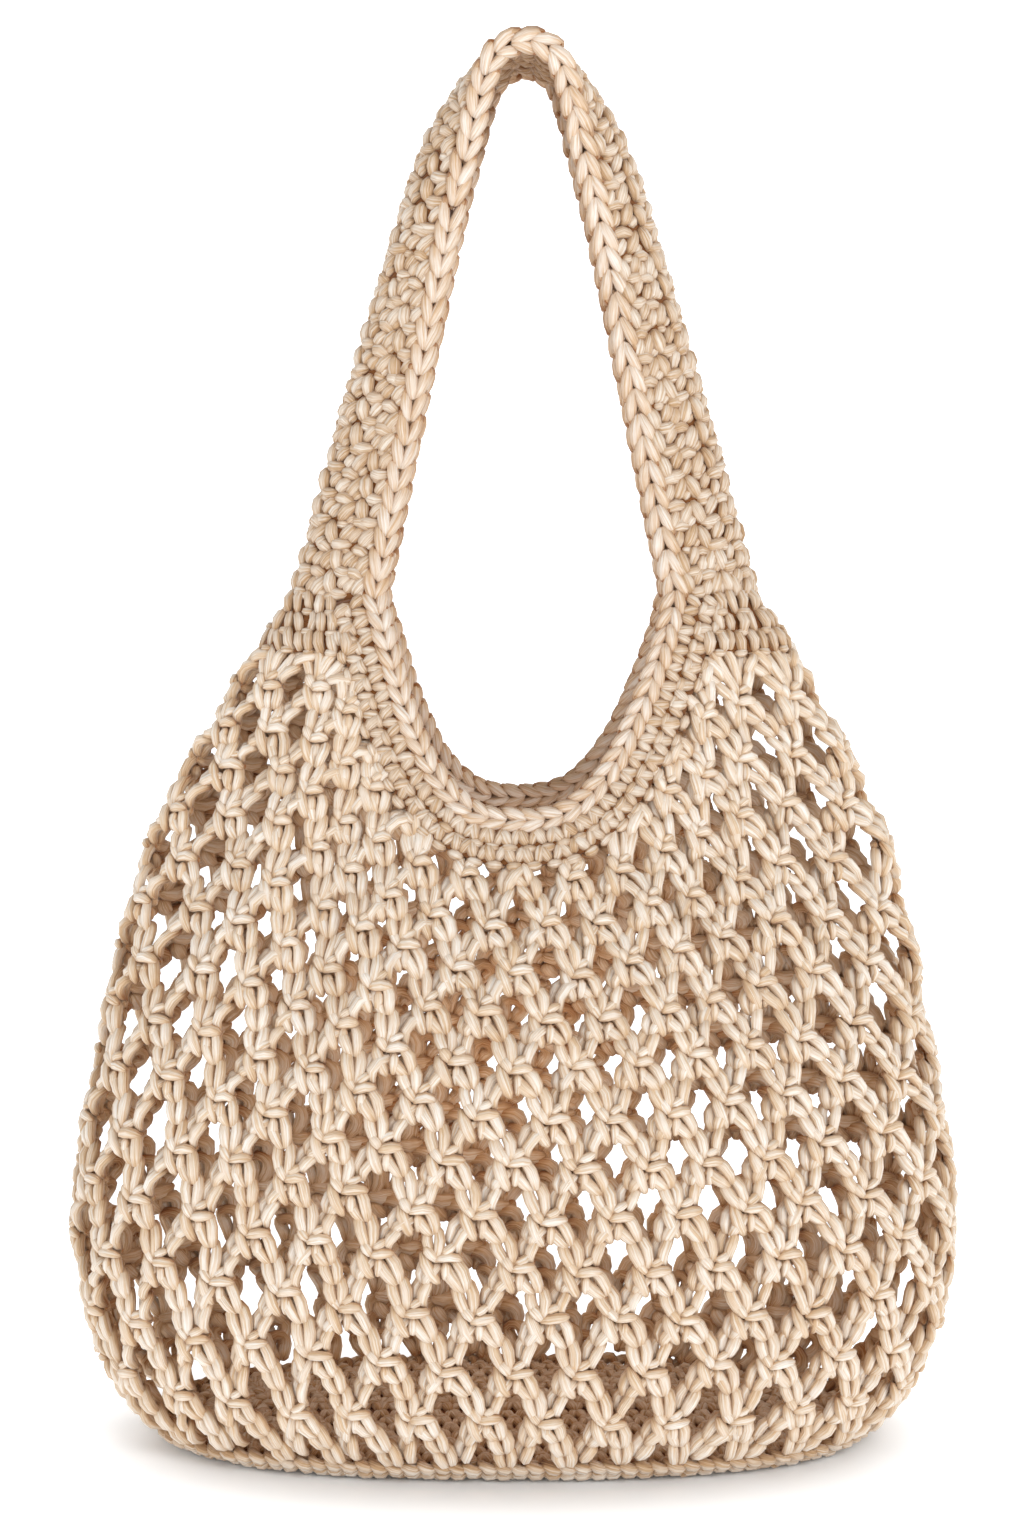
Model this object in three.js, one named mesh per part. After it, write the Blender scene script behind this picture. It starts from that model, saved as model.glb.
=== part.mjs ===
// Crocheted string shopping bag: an open net sack on a dense oval base, a banded neck and a shoulder strap.
// Millimetres, +Z up, +X to the right as seen from the front, +Y to the back. The bag stands on Z = 0.
import * as THREE from 'three';

// Driving dimensions
const sackWidth = 381; // over the widest strands
const sackDepth = 160; // over the widest strands, front to back
const sackHeight = 339; // floor to the underside of the shoulders
const yokeHeight = 24; // underside of the shoulders to the foot of the strap
const strapRise = 217.5; // foot of the strap to the middle of its crown
const strapCrownWidth = 50; // the strap laid flat over its crown, between its edgings
const strapFoldWidth = 29; // the folded strap, front leaf to back leaf, halfway up a leg
const neckHalfWidth = 62; // middle of the neck to the edging at the foot of the strap
const neckDip = 90.5; // foot of the strap down to the lowest point of the neck edging
const bandWidth = 13; // dense crochet between the neck edging and the net
const topLean = 4.5; // how far the neck and strap stand to the right of the base
const fabricThickness = 7; // dense crochet in thick cord
const edgingDiameter = 8; // chain-like ridge along neck and strap
const baseThickness = 7;
const baseFlare = 2.8; // floor to where the base is at its widest
const baseRim = 3; // how far the base reaches past the middle of the wall above it
const strandWidth = 13; // one net strand, which stands for a crocheted chain
const strandThickness = 9;
const knotThickness = 12; // where two strands are crocheted together
const knotReach = 10; // middle of a knot to the corner of the gap beside it
const netColumns = 16; // diamonds round the sack
const netRows = 6; // half diamonds from the base to the neck
const gatherDepth = 3.5; // pleats that the shoulders draw the net into
const gatherFolds = 12; // round the whole neck
const seatGap = 0.3; // clearance between two pieces that are crocheted together
const chordGap = 0.7; // the same along the curved neck, whose edges are made of short straights

// Counts that set how finely the curves are cut
const strandSteps = 3;
const netEdgeSteps = 4;
const halfGapMiddle = 0.4; // middle of a half gap, in rows from the rim
const neckSteps = 34;
const yokeSteps = 12;
const yokeLevels = 4;
const strapSteps = 35;
const crownCrowding = 0.55; // spacing of the strap's sections at the crown, as a share of their mean
const strapLeafSteps = 6;
const edgingSides = 6;
const baseSteps = 48;
const curveCuts = 400; // pieces that a curve is cut into to measure along it
const halvings = 40; // how often a search halves its range

// Exponents of the curves
const neckPower = 2.8; // how square the U of the neck is
const foldPower = 2.2; // how round the fold of the strap is
const fanPower = 1.5; // how soon the net's columns fan out below the neck
const leanPower = 3; // how late the sack starts to lean
const probe = 0.003; // the small share over which a slope is taken
const quarterTurn = Math.PI / 2;

const wallHalf = strandThickness / 2;
const halfWidth = sackWidth / 2 - wallHalf; // to the middle of the wall
const halfDepth = sackDepth / 2 - wallHalf;
const strapFoot = sackHeight + yokeHeight;
const neckBottom = strapFoot - neckDip;
const netFoot = baseThickness + seatGap;
const edgingRadius = edgingDiameter / 2;

// Level sections of the sack: height as a share of sackHeight, width and depth as shares of its halves
const sackSections = [
  { height: 0.0, width: 0.742, depth: 0.675, squareness: 2.5 },
  { height: 0.03, width: 0.835, depth: 0.775, squareness: 2.5 },
  { height: 0.054, width: 0.882, depth: 0.84, squareness: 2.45 },
  { height: 0.12, width: 0.945, depth: 0.925, squareness: 2.4 },
  { height: 0.275, width: 1.0, depth: 1.0, squareness: 2.3 },
  { height: 0.406, width: 0.974, depth: 1.0, squareness: 2.2 },
  { height: 0.531, width: 0.926, depth: 0.94, squareness: 2.15 },
  { height: 0.657, width: 0.866, depth: 0.77, squareness: 2.1 },
  { height: 0.782, width: 0.79, depth: 0.54, squareness: 2.05 },
  { height: 0.907, width: 0.678, depth: 0.42, squareness: 2.0 },
  { height: 1.0, width: 0.585, depth: 0.365, squareness: 2.0 },
  { height: 1.08, width: 0.49, depth: 0.3, squareness: 2.0 },
];

// The strap's right half from its foot to its crown: rise as a share of strapRise, and spread of the
// section's middle as a share of its spread at the foot
const strapStations = [
  { rise: 0.0, spread: 1.0 },
  { rise: 0.317, spread: 0.777 },
  { rise: 0.62, spread: 0.558 },
  { rise: 0.774, spread: 0.438 },
  { rise: 0.85, spread: 0.362 },
  { rise: 0.92, spread: 0.273 },
  { rise: 0.954, spread: 0.215 },
  { rise: 0.98, spread: 0.15 },
  { rise: 0.995, spread: 0.075 },
  { rise: 1.0, spread: 0.0 },
];

// The strap's section over the same rise: fold as a share of its depth at the foot, and how flat it lies
const strapFolds = [
  { rise: 0.0, fold: 1.0, flat: 0.0 },
  { rise: 0.317, fold: 0.82, flat: 0.0 },
  { rise: 0.62, fold: 0.62, flat: 0.08 },
  { rise: 0.774, fold: 0.52, flat: 0.25 },
  { rise: 0.85, fold: 0.43, flat: 0.45 },
  { rise: 0.92, fold: 0.25, flat: 0.7 },
  { rise: 0.96, fold: 0.1, flat: 0.9 },
  { rise: 0.985, fold: 0.0, flat: 1.0 },
  { rise: 1.0, fold: 0.0, flat: 1.0 },
];

// A smooth or straight-line reading of a table: the named columns at any value of its first column
function reader(rows, key, columns, Interpolant = THREE.CubicInterpolant) {
  const at = rows.map((row) => row[key]);
  const values = rows.flatMap((row) => columns.map((column) => row[column]));
  const interpolant = new Interpolant(at, values, columns.length);
  return (value) => Array.from(interpolant.evaluate(value));
}

const sectionAt = reader(sackSections, 'height', ['width', 'depth', 'squareness']);
const foldAt = reader(strapFolds, 'rise', ['fold', 'flat'], THREE.LinearInterpolant);

function lean(z) {
  return topLean * Math.min(1, z / sackHeight) ** leanPower;
}

// A point of the sack's wall at a height, at an angle from the front round by the right side
function sackPoint(angle, z, grow = 0) {
  const [width, depth, squareness] = sectionAt(z / sackHeight);
  const along = Math.sin(angle);
  const across = -Math.cos(angle);
  const reach = (Math.abs(along) ** squareness + Math.abs(across) ** squareness) ** (-1 / squareness);
  return new THREE.Vector3(
    lean(z) + (width * halfWidth + grow) * reach * along,
    (depth * halfDepth + grow) * reach * across,
    z,
  );
}

// The wall's outward normal there. A tilt of 0 levels it, as at a seam, so that both sides meet squarely
function sackNormal(angle, z, tilt = 1) {
  const rise = probe * sackHeight;
  const round = sackPoint(angle + probe, z).sub(sackPoint(angle - probe, z));
  const up = sackPoint(angle, z + rise).sub(sackPoint(angle, z - rise));
  const normal = round.cross(up).normalize();
  normal.z *= tilt;
  return normal.normalize();
}

// The share from 0 to 1 at which a test first holds
function crossing(reached) {
  let low = 0;
  let high = 1;
  for (let halving = 0; halving < halvings; halving += 1) {
    const middle = (low + high) / 2;
    if (reached(middle)) {
      high = middle;
    } else {
      low = middle;
    }
  }
  return high;
}

// The angle at which the wall stands a given distance to the side of the neck's middle
function angleAtSide(side, z) {
  return quarterTurn * crossing((share) => sackPoint(share * quarterTurn, z).x - lean(z) >= side);
}

// The neck as seen from the front: the U of its edging, and lines that run alongside it further out
function neckLine(share, outwards) {
  const side = share * neckHalfWidth;
  const z = neckBottom + neckDip * Math.abs(share) ** neckPower;
  const slope = (neckPower * neckDip * Math.abs(share) ** (neckPower - 1)) / neckHalfWidth;
  const length = Math.hypot(slope, 1);
  return { side: Math.abs(side) + (outwards * slope) / length, z: z - outwards / length };
}

// For a line over a share from 0 to 1: its length, and the share at each part of that length
function measured(line) {
  const places = Array.from({ length: curveCuts + 1 }, (_, i) => i / curveCuts);
  const points = places.map(line);
  const lengths = [0];
  points.slice(1).forEach((point, i) => lengths.push(lengths[i] + point.distanceTo(points[i])));
  const length = lengths.at(-1);
  const shares = new THREE.LinearInterpolant(lengths, places, 1);
  return { length, shareAt: (part) => shares.evaluate(part * length)[0] };
}

// A closed body from its corners and triangles, turned so that its faces point out
function body(corners, triangles) {
  const sixfoldVolume = triangles.reduce(
    (sum, [a, b, c]) => sum + corners[a].dot(new THREE.Vector3().crossVectors(corners[b], corners[c])),
    0,
  );
  const ordered = sixfoldVolume < 0 ? triangles.map(([a, b, c]) => [a, c, b]) : triangles;
  const geometry = new THREE.BufferGeometry().setFromPoints(corners);
  geometry.setIndex(ordered.flat());
  geometry.computeVertexNormals();
  return geometry;
}

// Two triangles over four corners in turn
function quad(a, b, c, d) {
  return [
    [a, b, c],
    [a, c, d],
  ];
}

// A sheet of even thickness round a grid of points, each with its own normal
function sheet(grid, thickness) {
  const rows = grid.length;
  const columns = grid[0].length;
  const corners = [];
  for (const { at, normal } of grid.flat()) {
    corners.push(at.clone().addScaledVector(normal, thickness / 2));
    corners.push(at.clone().addScaledVector(normal, -thickness / 2));
  }
  const outer = (row, column) => 2 * (row * columns + column);
  const inner = (row, column) => outer(row, column) + 1;
  const triangles = [];
  for (let row = 0; row < rows - 1; row += 1) {
    for (let column = 0; column < columns - 1; column += 1) {
      const square = [
        [row, column],
        [row, column + 1],
        [row + 1, column + 1],
        [row + 1, column],
      ];
      triangles.push(...quad(...square.map(([r, c]) => outer(r, c))));
      triangles.push(...quad(...square.reverse().map(([r, c]) => inner(r, c))));
    }
  }
  const wall = (r0, c0, r1, c1) => {
    triangles.push(...quad(outer(r0, c0), outer(r1, c1), inner(r1, c1), inner(r0, c0)));
  };
  for (let row = 0; row < rows - 1; row += 1) {
    wall(row, 0, row + 1, 0);
    wall(row + 1, columns - 1, row, columns - 1);
  }
  for (let column = 0; column < columns - 1; column += 1) {
    wall(0, column + 1, 0, column);
    wall(rows - 1, column, rows - 1, column + 1);
  }
  return body(corners, triangles);
}

// A closed ring of round section through points, as an edging runs
function ringTube(points, radius, sides) {
  const corners = [];
  const triangles = [];
  const count = points.length;
  points.forEach((point, i) => {
    const along = points[(i + 1) % count].clone().sub(points[(i + count - 1) % count]).normalize();
    const towards = new THREE.Vector3(0, 1, 0);
    const across = towards.addScaledVector(along, -towards.dot(along)).normalize();
    const beside = new THREE.Vector3().crossVectors(along, across);
    for (let side = 0; side < sides; side += 1) {
      const turn = (2 * Math.PI * side) / sides;
      const corner = point.clone().addScaledVector(across, radius * Math.cos(turn));
      corners.push(corner.addScaledVector(beside, radius * Math.sin(turn)));
      const next = (side + 1) % sides;
      const ahead = ((i + 1) % count) * sides;
      triangles.push(...quad(i * sides + side, i * sides + next, ahead + next, ahead + side));
    }
  });
  return body(corners, triangles);
}

// Dense crocheted base: a flat oval whose side widens to carry the foot of the net
function basePanel() {
  const levels = [
    { z: 0, grow: 0 },
    { z: baseFlare, grow: baseRim },
    { z: baseThickness, grow: baseRim },
  ];
  const corners = levels.flatMap(({ z, grow }) =>
    Array.from({ length: baseSteps }, (_, i) => sackPoint((2 * Math.PI * i) / baseSteps, z, grow)),
  );
  const bottomMiddle = corners.push(new THREE.Vector3(0, 0, 0)) - 1;
  const topMiddle = corners.push(new THREE.Vector3(0, 0, baseThickness)) - 1;
  const triangles = [];
  const top = (levels.length - 1) * baseSteps;
  for (let i = 0; i < baseSteps; i += 1) {
    const next = (i + 1) % baseSteps;
    triangles.push([bottomMiddle, next, i], [topMiddle, top + i, top + next]);
    for (let level = 0; level < levels.length - 1; level += 1) {
      const low = level * baseSteps;
      const high = low + baseSteps;
      triangles.push(...quad(low + i, low + next, high + next, high + i));
    }
  }
  return body(corners, triangles);
}

const bandInner = edgingRadius + seatGap;
const bandOuter = bandInner + bandWidth;
const netTop = bandOuter + chordGap;
const shoulderLine = sackHeight - seatGap;

// How far along the neck a line that runs alongside it reaches a height
function neckShareAt(z, outwards) {
  return crossing((share) => neckLine(share, outwards).z >= z);
}

// The net's upper edge over a quarter of the bag: up beside the neck band, then along under the shoulder
const shoulderShare = neckShareAt(shoulderLine, netTop);
const shoulderAngle = angleAtSide(neckLine(shoulderShare, netTop).side, shoulderLine);

function upperEdge(share) {
  const part = share * 2;
  if (part <= 1) {
    const { side, z } = neckLine(part * shoulderShare, netTop);
    return { angle: angleAtSide(side, z), z };
  }
  return { angle: shoulderAngle + (part - 1) * (quarterTurn - shoulderAngle), z: shoulderLine };
}

const upperMeasure = measured((share) => {
  const { angle, z } = upperEdge(share);
  return sackPoint(angle, z);
});
const footMeasure = measured((share) => sackPoint(share * quarterTurn, netFoot));

// The wall at a share of a turn from the front, and a share of the way up from the base to the neck. The
// columns stand evenly round the foot and evenly along the upper edge
function wallAt(turn, height) {
  const quarters = (turn - Math.floor(turn)) * 4;
  const quarter = Math.floor(quarters);
  const forwards = quarter % 2 === 0;
  const part = forwards ? quarters - quarter : quarter + 1 - quarters;
  const edge = upperEdge(upperMeasure.shareAt(part));
  const foot = footMeasure.shareAt(part) * quarterTurn;
  const fanned = foot + (edge.angle - foot) * height ** fanPower;
  const angle = forwards ? quarter * quarterTurn + fanned : (quarter + 1) * quarterTurn - fanned;
  return { angle, z: netFoot + (edge.z - netFoot) * height };
}

// The pleats are deepest a little below the neck, and are gone at the neck and halfway down
function gather(turn, height) {
  const reach = Math.sin(Math.PI * Math.max(0, 2 * height - 1));
  return gatherDepth * reach * Math.cos(2 * Math.PI * gatherFolds * turn);
}

function netPoint(turn, height) {
  const { angle, z } = wallAt(turn, height);
  const at = sackPoint(angle, z);
  const normal = sackNormal(angle, z, Math.min(1, height * netRows, (1 - height) * netRows));
  return { at: at.addScaledVector(normal, gather(turn, height)), normal };
}

// The open net: each gap is a diamond, or half of one at the neck and base. The strands between gaps have
// six-sided sections, with a crest on either face and a lip round each gap
function netBody() {
  const corners = [];
  const triangles = [];
  const crests = new Map();
  const faces = [1, -1];
  const cuts = strandSteps * netEdgeSteps;
  const wholeTurn = 2 * netColumns * cuts;
  const onNet = ([column, row]) => netPoint(column / (2 * netColumns), row / netRows);

  // Neighbouring gaps share the crests of the strand between them
  const crestOf = ([column, row], at, normal, half) =>
    faces.map((face) => {
      const key = [(Math.round(column * cuts) + wholeTurn) % wholeTurn, Math.round(row * cuts), face].join();
      if (!crests.has(key)) {
        crests.set(key, corners.push(at.clone().addScaledVector(normal, face * half)) - 1);
      }
      return crests.get(key);
    });

  // One gap from the knots round it, given in half columns and rows
  const gap = (knots, middle) => {
    const centre = onNet(middle).at;
    const laid = knots.flatMap((from, side) => {
      const to = knots[(side + 1) % knots.length];
      const onRim = from[1] === to[1];
      const along = onNet(to).at.sub(onNet(from).at).normalize();
      const steps = onRim ? netEdgeSteps : strandSteps;
      return Array.from({ length: steps }, (_, step) => {
        const knot = step === 0;
        const place = from.map((start, i) => start + ((to[i] - start) * step) / steps);
        const { at, normal } = onNet(place);
        const atRim = place[1] === 0 || place[1] === netRows;
        const inwards = centre.clone().sub(at);
        if (!knot) {
          inwards.addScaledVector(along, -inwards.dot(along));
        }
        inwards.addScaledVector(normal, -inwards.dot(normal)).normalize();
        const half = (knot && !atRim ? knotThickness : strandThickness) / 2;
        const lipAt = at.clone().addScaledVector(inwards, knot ? knotReach : strandWidth / 2);
        return {
          onRim,
          crest: crestOf(place, at, normal, half),
          lip: faces.map(
            (face) => corners.push(lipAt.clone().addScaledVector(normal, (face * strandThickness) / 4)) - 1,
          ),
        };
      });
    });
    laid.forEach(({ onRim, crest, lip }, i) => {
      const next = laid[(i + 1) % laid.length];
      triangles.push(...quad(crest[0], next.crest[0], next.lip[0], lip[0]));
      triangles.push(...quad(lip[0], next.lip[0], next.lip[1], lip[1]));
      triangles.push(...quad(lip[1], next.lip[1], next.crest[1], crest[1]));
      if (onRim) {
        triangles.push(...quad(crest[1], next.crest[1], next.crest[0], crest[0]));
      }
    });
  };

  for (let row = 0; row <= netRows; row += 1) {
    for (let column = 0; column < netColumns; column += 1) {
      const middle = 2 * column + ((row + 1) % 2);
      const below = row > 0 ? [[middle, row - 1]] : [];
      const above = row < netRows ? [[middle, row + 1]] : [];
      const gapRow = Math.min(netRows - halfGapMiddle, Math.max(halfGapMiddle, row));
      gap([...below, [middle + 1, row], ...above, [middle - 1, row]], [middle, gapRow]);
    }
  }
  return body(corners, triangles);
}

// The length of the neck, measured along a line that runs alongside it
function neckMeasure(outwards) {
  return measured((share) => {
    const { side, z } = neckLine(share, outwards);
    return new THREE.Vector3(side, 0, z);
  });
}

// Where a place along the neck lies on the wall, on its left or right half and on the front or back
function neckPlace(share, outwards, half, front) {
  const { side, z } = neckLine(share, outwards);
  const angle = half * angleAtSide(side, z);
  return { angle: front ? angle : 2 * quarterTurn - angle, z };
}

// A neck band: dense crochet from the neck edging out to the net, along one face of the bag
function neckBand(front) {
  const rows = [
    { outwards: bandInner, tilt: 1 },
    { outwards: (bandInner + bandOuter) / 2, tilt: 0.5 },
    { outwards: bandOuter, tilt: 0 },
  ];
  const { shareAt } = neckMeasure(bandOuter);
  const grid = rows.map(({ outwards, tilt }) =>
    Array.from({ length: neckSteps + 1 }, (_, i) => {
      const along = (2 * i) / neckSteps - 1;
      const { angle, z } = neckPlace(shareAt(Math.abs(along)), outwards, Math.sign(along), front);
      return { at: sackPoint(angle, z), normal: sackNormal(angle, z, tilt) };
    }),
  );
  return sheet(grid, fabricThickness);
}

// A shoulder: dense crochet from the front neck band round the side to the back one, under the strap's foot
function yoke(right) {
  const grid = Array.from({ length: yokeLevels + 1 }, (_, level) => {
    const z = sackHeight + (level / yokeLevels) * yokeHeight;
    const inner = angleAtSide(neckLine(neckShareAt(z, bandOuter), bandOuter).side + chordGap, z);
    return Array.from({ length: yokeSteps + 1 }, (_, i) => {
      const share = (2 * i) / yokeSteps - 1;
      const angle = (right ? 1 : -1) * (quarterTurn + share * (quarterTurn - inner));
      const inside = level > 0 && level < yokeLevels && i > 0 && i < yokeSteps;
      return { at: sackPoint(angle, z), normal: sackNormal(angle, z, inside ? 1 : 0) };
    });
  });
  return sheet(grid, fabricThickness);
}

// The strap's middle line, from its left foot over the crown to its right foot
const footOuter = sackPoint(quarterTurn, strapFoot).x - lean(strapFoot);
const footFold = footOuter - neckHalfWidth; // depth of the fold at the foot
const footSpread = (footOuter + neckHalfWidth) / 2;
const footLeaf = -sackPoint(angleAtSide(neckHalfWidth, strapFoot), strapFoot).y;
const strapHalf = strapStations.map(
  ({ rise, spread }) => new THREE.Vector3(spread * footSpread, 0, strapFoot + seatGap + rise * strapRise),
);
const strapLine = new THREE.CatmullRomCurve3(
  [
    ...strapHalf.map((point) => new THREE.Vector3(-point.x, 0, point.z)),
    ...strapHalf.slice(0, -1).reverse(),
  ].map((point) => point.setX(point.x + topLean)),
  false,
  'centripetal',
);

// A section of the strap at a share of its length: a line over a share across it, -1 in front to 1 behind
function strapSection(along) {
  const middle = strapLine.getPointAt(along);
  const rise = (middle.z - strapFoot - seatGap) / strapRise;
  const [fold, flat] = foldAt(rise);
  const depth = fold * footFold;
  const clearOfFoot = Math.min(1, rise / strapStations[1].rise);
  const leaf = footLeaf + (strapFoldWidth / 2 - footLeaf) * clearOfFoot;
  const opening = leaf + (strapCrownWidth / 2 + edgingRadius + seatGap - leaf) * flat;
  const tangent = strapLine.getTangentAt(along);
  const level = new THREE.Vector3(Math.sign(middle.x - topLean) || 1, 0, 0);
  const square = new THREE.Vector3(-tangent.z, 0, tangent.x);
  const outwards = level.lerp(square, clearOfFoot).normalize();
  const line = (share) =>
    middle
      .clone()
      .addScaledVector(outwards, depth * (0.5 - Math.abs(share) ** foldPower))
      .add(new THREE.Vector3(0, share * opening, 0));
  return { line, outwards };
}

// Sections stand closer together towards the crown, and the middle two have one level facet between them
const strapPlaces = Array.from({ length: strapSteps + 1 }, (_, i) => {
  const place = (2 * i) / strapSteps - 1;
  return (1 + place * (crownCrowding + (1 - crownCrowding) * place ** 2)) / 2;
});

function shoulderStrap() {
  const grid = strapPlaces.map((along) => {
    const { line, outwards } = strapSection(along);
    const { length, shareAt } = measured((share) => line(2 * share - 1));
    const trim = (edgingRadius + chordGap) / length;
    const round = outwards.clone().cross(new THREE.Vector3(0, 1, 0));
    return Array.from({ length: strapLeafSteps + 1 }, (_, i) => {
      const share = 2 * shareAt(trim + (i / strapLeafSteps) * (1 - 2 * trim)) - 1;
      const slope = line(share + probe).sub(line(share - probe));
      return { at: line(share), normal: round.clone().cross(slope).normalize() };
    });
  });
  return sheet(grid, fabricThickness);
}

// An edging: one ridge along the neck and on along the same edge of the strap, back to where it began
function edging(front) {
  const { shareAt } = neckMeasure(0);
  const neck = Array.from({ length: neckSteps / 2 - 1 }, (_, i) => {
    const along = (4 * (i + 1)) / neckSteps - 1;
    const { angle, z } = neckPlace(shareAt(Math.abs(along)), 0, Math.sign(along), front);
    return sackPoint(angle, z);
  });
  const strap = strapPlaces.map((along) => strapSection(along).line(front ? -1 : 1));
  return ringTube([...neck, ...strap.reverse()], edgingRadius, edgingSides);
}

const cotton = (color) => new THREE.MeshStandardMaterial({ color, roughness: 0.9, metalness: 0 });
const netCotton = cotton(0xe6cdb0);
const denseCotton = cotton(0xe2c8a9);
const edgeCotton = cotton(0xead4ba);

const bag = new THREE.Group();

function add(name, geometry, material) {
  const mesh = new THREE.Mesh(geometry, material);
  mesh.name = name;
  bag.add(mesh);
}

add('base_panel', basePanel(), denseCotton);
add('net_body', netBody(), netCotton);
add('neck_band_front', neckBand(true), denseCotton);
add('neck_band_back', neckBand(false), denseCotton);
add('yoke_left', yoke(false), denseCotton);
add('yoke_right', yoke(true), denseCotton);
add('shoulder_strap', shoulderStrap(), denseCotton);
add('edging_front', edging(true), edgeCotton);
add('edging_back', edging(false), edgeCotton);

export default bag;
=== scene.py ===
"""Crocheted string shopping bag in thick cotton cord, standing on a pale floor.

Metres, +Z up, +X to the right as seen from the front, +Y to the back.
"""

import math

import bpy
import numpy as np
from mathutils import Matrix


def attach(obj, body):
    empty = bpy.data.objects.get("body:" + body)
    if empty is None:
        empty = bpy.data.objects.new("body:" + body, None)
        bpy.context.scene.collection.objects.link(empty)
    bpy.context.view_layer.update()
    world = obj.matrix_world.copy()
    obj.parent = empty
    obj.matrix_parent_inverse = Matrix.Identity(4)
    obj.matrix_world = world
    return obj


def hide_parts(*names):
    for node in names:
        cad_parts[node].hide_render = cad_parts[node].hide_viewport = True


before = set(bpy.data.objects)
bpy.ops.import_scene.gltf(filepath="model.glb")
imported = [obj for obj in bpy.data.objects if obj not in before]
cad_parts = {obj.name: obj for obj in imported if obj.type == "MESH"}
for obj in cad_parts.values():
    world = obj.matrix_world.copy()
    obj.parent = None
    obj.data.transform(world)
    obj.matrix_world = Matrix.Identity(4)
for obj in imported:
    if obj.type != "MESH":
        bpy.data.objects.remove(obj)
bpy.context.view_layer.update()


# Camera: level with the upper half of the bag, tipped down a little, as in the photograph.
# The lens is given for a sensor whose 36 mm lie along the picture's long side.
CAMERA_TILT = 7.0
camera_data = bpy.data.cameras.new("camera")
camera_data.sensor_width = 36.0
camera_data.lens = 53.6
camera = bpy.data.objects.new("camera", camera_data)
camera.location = (-0.0008, -0.955, 0.4067)
camera.rotation_euler = (math.radians(90.0 - CAMERA_TILT), 0.0, 0.0)
bpy.context.scene.collection.objects.link(camera)
bpy.context.scene.camera = camera


# Light: a large soft key from the right and above, a weak fill from the left, and a room of white walls
# that dim towards the ceiling. A faint warm light inside the bag stands for the light that pale cotton lets
# through.
def add_node(tree, kind, settings=None, links=None):
    """A new node with its settings, sockets among them by name or number, and links from other outputs."""
    node = tree.nodes.new(kind)
    for key, value in (settings or {}).items():
        if isinstance(key, str) and hasattr(node, key):
            setattr(node, key, value)
        else:
            node.inputs[key].default_value = value
    for key, output in (links or {}).items():
        tree.links.new(output, node.inputs[key])
    return node


bpy.context.scene.view_settings.view_transform = "Standard"
glow_data = bpy.data.lights.new("glow_inside", "POINT")
glow_data.shadow_soft_size = 0.06
glow_data.energy = 0.09
glow_data.color = (1.0, 0.62, 0.34)
glow = bpy.data.objects.new("glow_inside", glow_data)
glow.location = (0.0, 0.0, 0.15)
bpy.context.scene.collection.objects.link(glow)
for name, place, aim, size, watts in (
    ("key_light", (1.0, -1.4, 1.4), (0.0, 0.0, 0.25), 0.8, 14.0),
    ("fill_light", (-1.4, -1.1, 0.7), (0.0, 0.0, 0.2), 1.2, 5.0),
):
    light_data = bpy.data.lights.new(name, "AREA")
    light_data.size = size
    light_data.energy = watts
    light = bpy.data.objects.new(name, light_data)
    light.location = place
    direction = np.array(aim) - np.array(place)
    tip = math.acos(-direction[2] / np.linalg.norm(direction))
    light.rotation_euler = (tip, 0.0, math.atan2(direction[1], direction[0]) - math.pi / 2)
    bpy.context.scene.collection.objects.link(light)
world = bpy.data.worlds.new("white_room")
world.use_nodes = True
room = world.node_tree
view = add_node(room, "ShaderNodeTexCoord")
rise = add_node(room, "ShaderNodeSeparateXYZ", {}, {"Vector": view.outputs["Object"]})
walls = add_node(
    room,
    "ShaderNodeMapRange",
    {"From Min": 0.33, "From Max": 0.6, "To Min": 0.98, "To Max": 0.22},
    {"Value": rise.outputs["Z"]},
)
background = room.nodes["Background"].inputs
background["Color"].default_value = (1.0, 0.99, 0.975, 1.0)
room.links.new(walls.outputs["Result"], background["Strength"])
bpy.context.scene.world = world


# Cotton cord: loosely twisted strands without a hard lay, matt, with fine fibres that run along the cord.
# Crocheting presses it flat where loops cross, so each loop is widest in its middle and thin at its ends.
MM = 0.001


def linear(hex_colour):
    """The linear colour of an sRGB hex value."""
    channels = [int(hex_colour[i : i + 2], 16) / 255 for i in (1, 3, 5)]
    return [c / 12.92 if c <= 0.04045 else ((c + 0.055) / 1.055) ** 2.4 for c in channels] + [1.0]


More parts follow.
